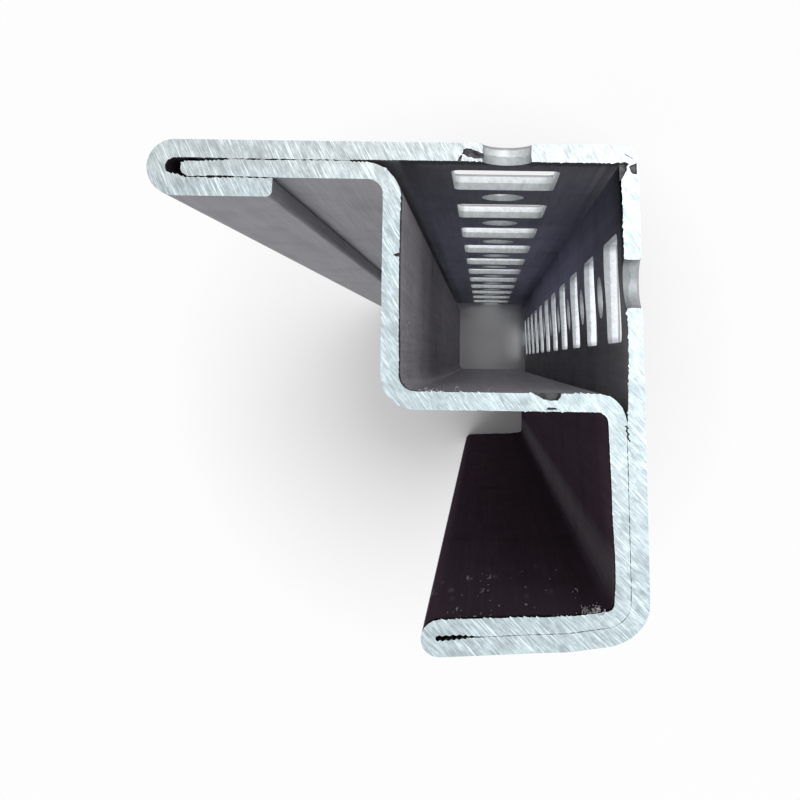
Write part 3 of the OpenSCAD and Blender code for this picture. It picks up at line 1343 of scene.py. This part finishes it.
@dataclass(frozen=True)
class SawnFinish(Finish):
    """The bright face that the saw leaves, scored with arcs: greyer along the wide wall, and bluer
    below it."""

    depth: float = 0.00003
    scores: Pair = (0.40, 0.60)
    patches: Pair = (0.49, 0.66)
    patchy: float = 0.7
    clouds: Pair = (0.48, 0.68)
    cloudy: float = 0.45
    shade: Triple = (0.33, 0.33, 0.33)
    glints: Pair = (0.56, 0.66)
    shiny: float = 0.8
    glint: Triple = (0.93, 0.93, 0.93)
    grey: Triple = (0.90, 1.0, 1.03)
    blue: Triple = (0.85, 1.0, 1.055)
    greying: Pair = (0.0205, 0.0255)
    drift: float = 0.012

    def dress(self, effects: SharedEffects) -> Material:
        """Builds the material.

        Args:
            effects: the shared effects.

        Returns:
            The material.
        """
        material, w, shader, place = self.start()
        marks = w.effect(effects.saw_marks, place).outputs
        fine = w.weighted((marks["Fine"], 0.7), (marks["Mottle"], 0.3))
        steel = w.blend(w.clamp(fine, *self.scores), self.dark, self.light)
        patches = w.product(w.clamp(marks["Broad"], *self.patches), self.patchy)
        clouds = w.product(w.clamp(w.noise(place, 420.0), *self.clouds), self.cloudy)
        steel = w.blend(w.math("MAXIMUM", patches, clouds), steel, self.shade)
        glints = w.product(w.clamp(marks["Long"], *self.glints), self.shiny)
        steel = w.blend(glints, steel, self.glint)
        drift = w.math("MULTIPLY_ADD", w.noise(place, 160.0), self.drift, -self.drift / 2)
        across = w.math("ADD", w.parts(place)[1], drift)
        tint = w.blend(w.clamp(across, *self.greying), self.blue, self.grey)
        self.surface(w, shader, w.blend(1.0, steel, tint, "MULTIPLY"), fine, marks["Height"])
        return material


@dataclass(frozen=True)
class CutFinish(Finish):
    """The wall of a punched hole, burnished by the punch or torn where the slug broke away, and
    every other face where the metal broke."""

    def dress(self, effects: SharedEffects) -> Material:
        """Builds the material.

        Args:
            effects: the shared effects.

        Returns:
            The material.
        """
        material, w, shader, place = self.start()
        grain = w.effect(effects.cut_grain, place).outputs
        steel, _ = self.zoned(w, effects, place, w.blend(grain["Mask"], self.dark, self.light))
        self.surface(w, shader, steel, grain["Mask"], grain["Height"])
        return material


def hole_zones(paler: float, rim: float, side: float) -> tuple[Zone, ...]:
    """The tones of the walls of the holes and slots: painted light further down, and painted shade right
    under the saw cut and on the side wall's near the upper end.

    Args:
        paler: how much paler the painted light makes them further down.
        rim: how much darker the painted shade makes them right under the saw cut.
        side: how much darker the painted shade makes the side wall's near the upper end.

    Returns:
        The zones of the finish.
    """
    return (
        Zone((-0.03, -0.03), (0.03, 0.03), levels=((0.272, 0.232, paler), (0.2738, 0.2750, -rim))),
        Zone((0.0228, -0.03), (0.03, 0.0285), tint=(1.0, 1.0, 1.03), soft=0.0002,
             levels=((0.266, 0.272, -side),)),
    )


@dataclass
class Profile:
    """The whole profile, in place of its plain node."""

    strip: FoldedStrip = field(default_factory=FoldedStrip)
    rolled: RolledFinish = RolledFinish(
        "rolled_steel", (0.36, 0.365, 0.38), (0.50, 0.505, 0.52), 0.42, 0.2, 0.25, 0.7)
    sawn: SawnFinish = SawnFinish(
        "sawn_steel", (0.42, 0.42, 0.42), (0.68, 0.68, 0.68), 0.42, 0.25, 0.35)
    sheared: CutFinish = CutFinish(
        "sheared_steel", (0.54, 0.575, 0.585), (0.76, 0.795, 0.805), 0.52, 0.15, 0.25, 0.45,
        zones=hole_zones(0.36, 0.5, 0.34))
    torn: CutFinish = CutFinish(
        "torn_steel", (0.38, 0.41, 0.41), (0.54, 0.57, 0.58), 0.6, 0.2, 0.6, 0.4,
        zones=hole_zones(0.3, 0.4, 0.3))
    split: CutFinish = CutFinish(
        "split_steel", (0.04, 0.04, 0.045), (0.30, 0.30, 0.305), 0.6, 0.2, 0.8, 0.2, zones=(
            # painted shade in the slit in the foot's hem, the nick in the inner wall and the notch in the
            # web
            Zone((0.0020, -0.0275), (0.0105, -0.0250), tone=0.2, soft=0.0002),
            Zone((-0.0014, 0.0145), (0.0012, 0.0170), tone=0.35, soft=0.0002),
            Zone((0.0140, -0.0008), (0.0190, 0.0020), tone=0.45, soft=0.0002),
        ))
    chips: CutFinish = CutFinish(
        "chip_steel", (0.19, 0.175, 0.185), (0.42, 0.395, 0.41), 0.5, 0.2, 0.3, 0.3, zones=(
            # painted shade with a purple painted reflection on the chips in the recess
            Zone((-0.0012, -0.0262), (0.0188, -0.0004), tone=0.45, tint=(1.0, 0.9, 0.95), soft=0.0015),
        ))

    def corner(self) -> Vector:
        """Where the outer corner of the section stands in the frame, in millimetres."""
        low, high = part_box(NODE)
        return Vector((low.x / MM + self.strip.wall_w, high.y / MM, 0.0))

    def cut(self, effects: SharedEffects) -> Object:
        """Folds the strip, punches it and tears it.

        Args:
            effects: the shared effects, for the finishes.

        Returns:
            The profile as an object in millimetres, whose faces have their finishes.
        """
        finishes = (self.rolled, self.sawn, self.sheared, self.torn, self.split)
        materials = [finish.dress(effects) for finish in finishes]
        piece = as_object(self.strip.build(), "folded_profile", materials)
        LOG.info("strip: %d faces", len(piece.data.polygons))
        for made in (Punching(self.strip).build(), *SawTears(self.strip).build()):
            cut_away(piece, as_object(made, "cutter", materials))
            LOG.info("cut: %d faces", len(piece.data.polygons))
        return piece

    def build(self) -> list[Object]:
        """Makes the profile and its chips, and rides both on the body.

        Returns:
            The two pieces.
        """
        effects = SharedEffects()
        piece = self.cut(effects)
        bm = bmesh.new()
        bm.from_mesh(piece.data)
        put_in_order(bm)
        bmesh.ops.dissolve_degenerate(bm, dist=SLIVER, edges=bm.edges)
        SawnEnds(self.strip).roughen(bm)
        swarf = SawChips(self.strip).build(BVHTree.FromBMesh(bm))
        self.seat(bm)
        bm.to_mesh(piece.data)
        bm.free()
        piece.data.shade_smooth()
        piece.data.set_sharp_from_angle(angle=SHARP)
        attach(piece, BODY)
        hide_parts(NODE)
        self.seat(swarf)
        chips = as_object(swarf, "saw_chips", [self.chips.dress(effects)])
        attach(chips, BODY)
        return [piece, chips]

    def seat(self, bm: BMesh) -> None:
        """Brings a mesh from the section's millimetres to metres in the frame."""
        bmesh.ops.translate(bm, verts=bm.verts, vec=self.corner())
        bmesh.ops.scale(bm, verts=bm.verts, vec=(MM, MM, MM))


@dataclass(frozen=True)
class Lamp:
    """A soft square studio lamp that points at the top of the profile."""

    name: str
    at: Triple
    size: float
    power: float


@dataclass
class Studio:
    """The floor, the lamps, the world and the camera."""

    aim: Vector = field(default_factory=lambda: Vector((0.0, 0.0, 0.275)))
    floor_size: float = 6.0
    floor_colour: Triple = (0.94, 0.94, 0.94)
    whiten: Pair = (0.035, 0.11)
    white_share: float = 0.88
    fade: Pair = (0.1, 1.6)
    zenith: float = 0.85
    horizon: float = 0.12
    lamps: tuple[Lamp, ...] = (
        Lamp("key_lamp", (0.52, 0.22, 1.60), 0.6, 5.4),
        Lamp("side_lamp", (0.15, 0.85, 1.90), 0.9, 2.5),
        Lamp("fill_lamp", (-0.9, -1.4, 1.3), 1.2, 9.0),
    )
    camera_at: Triple = (0.00935, 0.00437, 0.385)
    roll: float = math.radians(0.8)
    lens: float = 45.05
    sensor: float = 36.0
    nearest: float = 0.01
    shift: Pair = (-0.105, -0.05)

    def lay_floor(self) -> None:
        """A plain pale floor, which is whiter to the eye further from the profile."""
        paint = bpy.data.materials.new("floor_paint")
        paint.use_nodes = True
        paint.node_tree.nodes.clear()
        w = Wiring(paint.node_tree)
        feeds = {"Base Color": (*self.floor_colour, 1.0), "Roughness": 0.9, "Specular IOR Level": 0.1}
        plain = w.add("ShaderNodeBsdfPrincipled", feeds)
        white = w.add("ShaderNodeEmission", {"Color": (*PLAIN, 1.0), "Strength": 1.0})
        place = w.add("ShaderNodeTexCoord").outputs["Object"]
        away = w.add("ShaderNodeVectorMath", {0: place}, operation="LENGTH").outputs["Value"]
        near = w.product(w.clamp(away, *self.whiten), self.white_share)
        share = w.product(w.math("MAXIMUM", near, w.clamp(away, *self.fade)), w.seen())
        mixed = w.add("ShaderNodeMixShader", {0: share, 1: plain.outputs[0], 2: white.outputs[0]})
        w.add("ShaderNodeOutputMaterial", {"Surface": mixed.outputs[0]})
        bm = bmesh.new()
        bmesh.ops.create_grid(bm, x_segments=1, y_segments=1, size=self.floor_size / 2)
        as_object(bm, "floor", [paint])

    def light_world(self) -> None:
        """A pale world, brighter overhead than at the horizon, and plain white behind the floor."""
        world = bpy.data.worlds.new("studio")
        bpy.context.scene.world = world
        world.use_nodes = True
        world.node_tree.nodes.clear()
        w = Wiring(world.node_tree)
        rise = w.math("MAXIMUM", w.parts(w.add("ShaderNodeTexCoord").outputs["Generated"])[2], 0.0)
        level = w.math("MULTIPLY_ADD", rise, self.zenith - self.horizon, self.horizon)
        feeds = {"Color": (*PLAIN, 1.0), "Strength": w.math("MAXIMUM", level, w.seen())}
        light = w.add("ShaderNodeBackground", feeds)
        w.add("ShaderNodeOutputWorld", {"Surface": light.outputs[0]})

    def hang_lamps(self) -> None:
        """Hangs each lamp and turns it towards the top of the profile."""
        for lamp in self.lamps:
            light = bpy.data.lights.new(lamp.name, "AREA")
            light.size, light.energy = lamp.size, lamp.power
            hung = bpy.data.objects.new(lamp.name, light)
            hung.location = lamp.at
            hung.rotation_euler = (self.aim - hung.location).to_track_quat("-Z", "Y").to_euler()
            bpy.context.scene.collection.objects.link(hung)

    def set_camera(self) -> None:
        """Looks straight down the profile from close above its sawn end."""
        data = bpy.data.cameras.new("camera")
        data.lens, data.sensor_width = self.lens, self.sensor
        data.shift_x, data.shift_y = self.shift
        data.clip_start = self.nearest
        camera = bpy.data.objects.new("camera", data)
        camera.location = self.camera_at
        camera.rotation_euler = (0.0, 0.0, self.roll)
        bpy.context.scene.collection.objects.link(camera)
        bpy.context.scene.camera = camera

    def build(self) -> None:
        """Sets the whole stage."""
        bpy.context.scene.view_settings.view_transform = "Standard"
        self.lay_floor()
        self.light_world()
        self.hang_lamps()
        self.set_camera()


def main() -> None:
    """Builds everything in order and reports each piece."""
    logging.basicConfig(level=logging.INFO, format="%(message)s")
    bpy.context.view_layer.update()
    Studio().build()
    LOG.info("studio set")
    for piece in Profile().build():
        LOG.info("%s: %d faces", piece.name, len(piece.data.polygons))


if __name__ == "__main__":
    main()
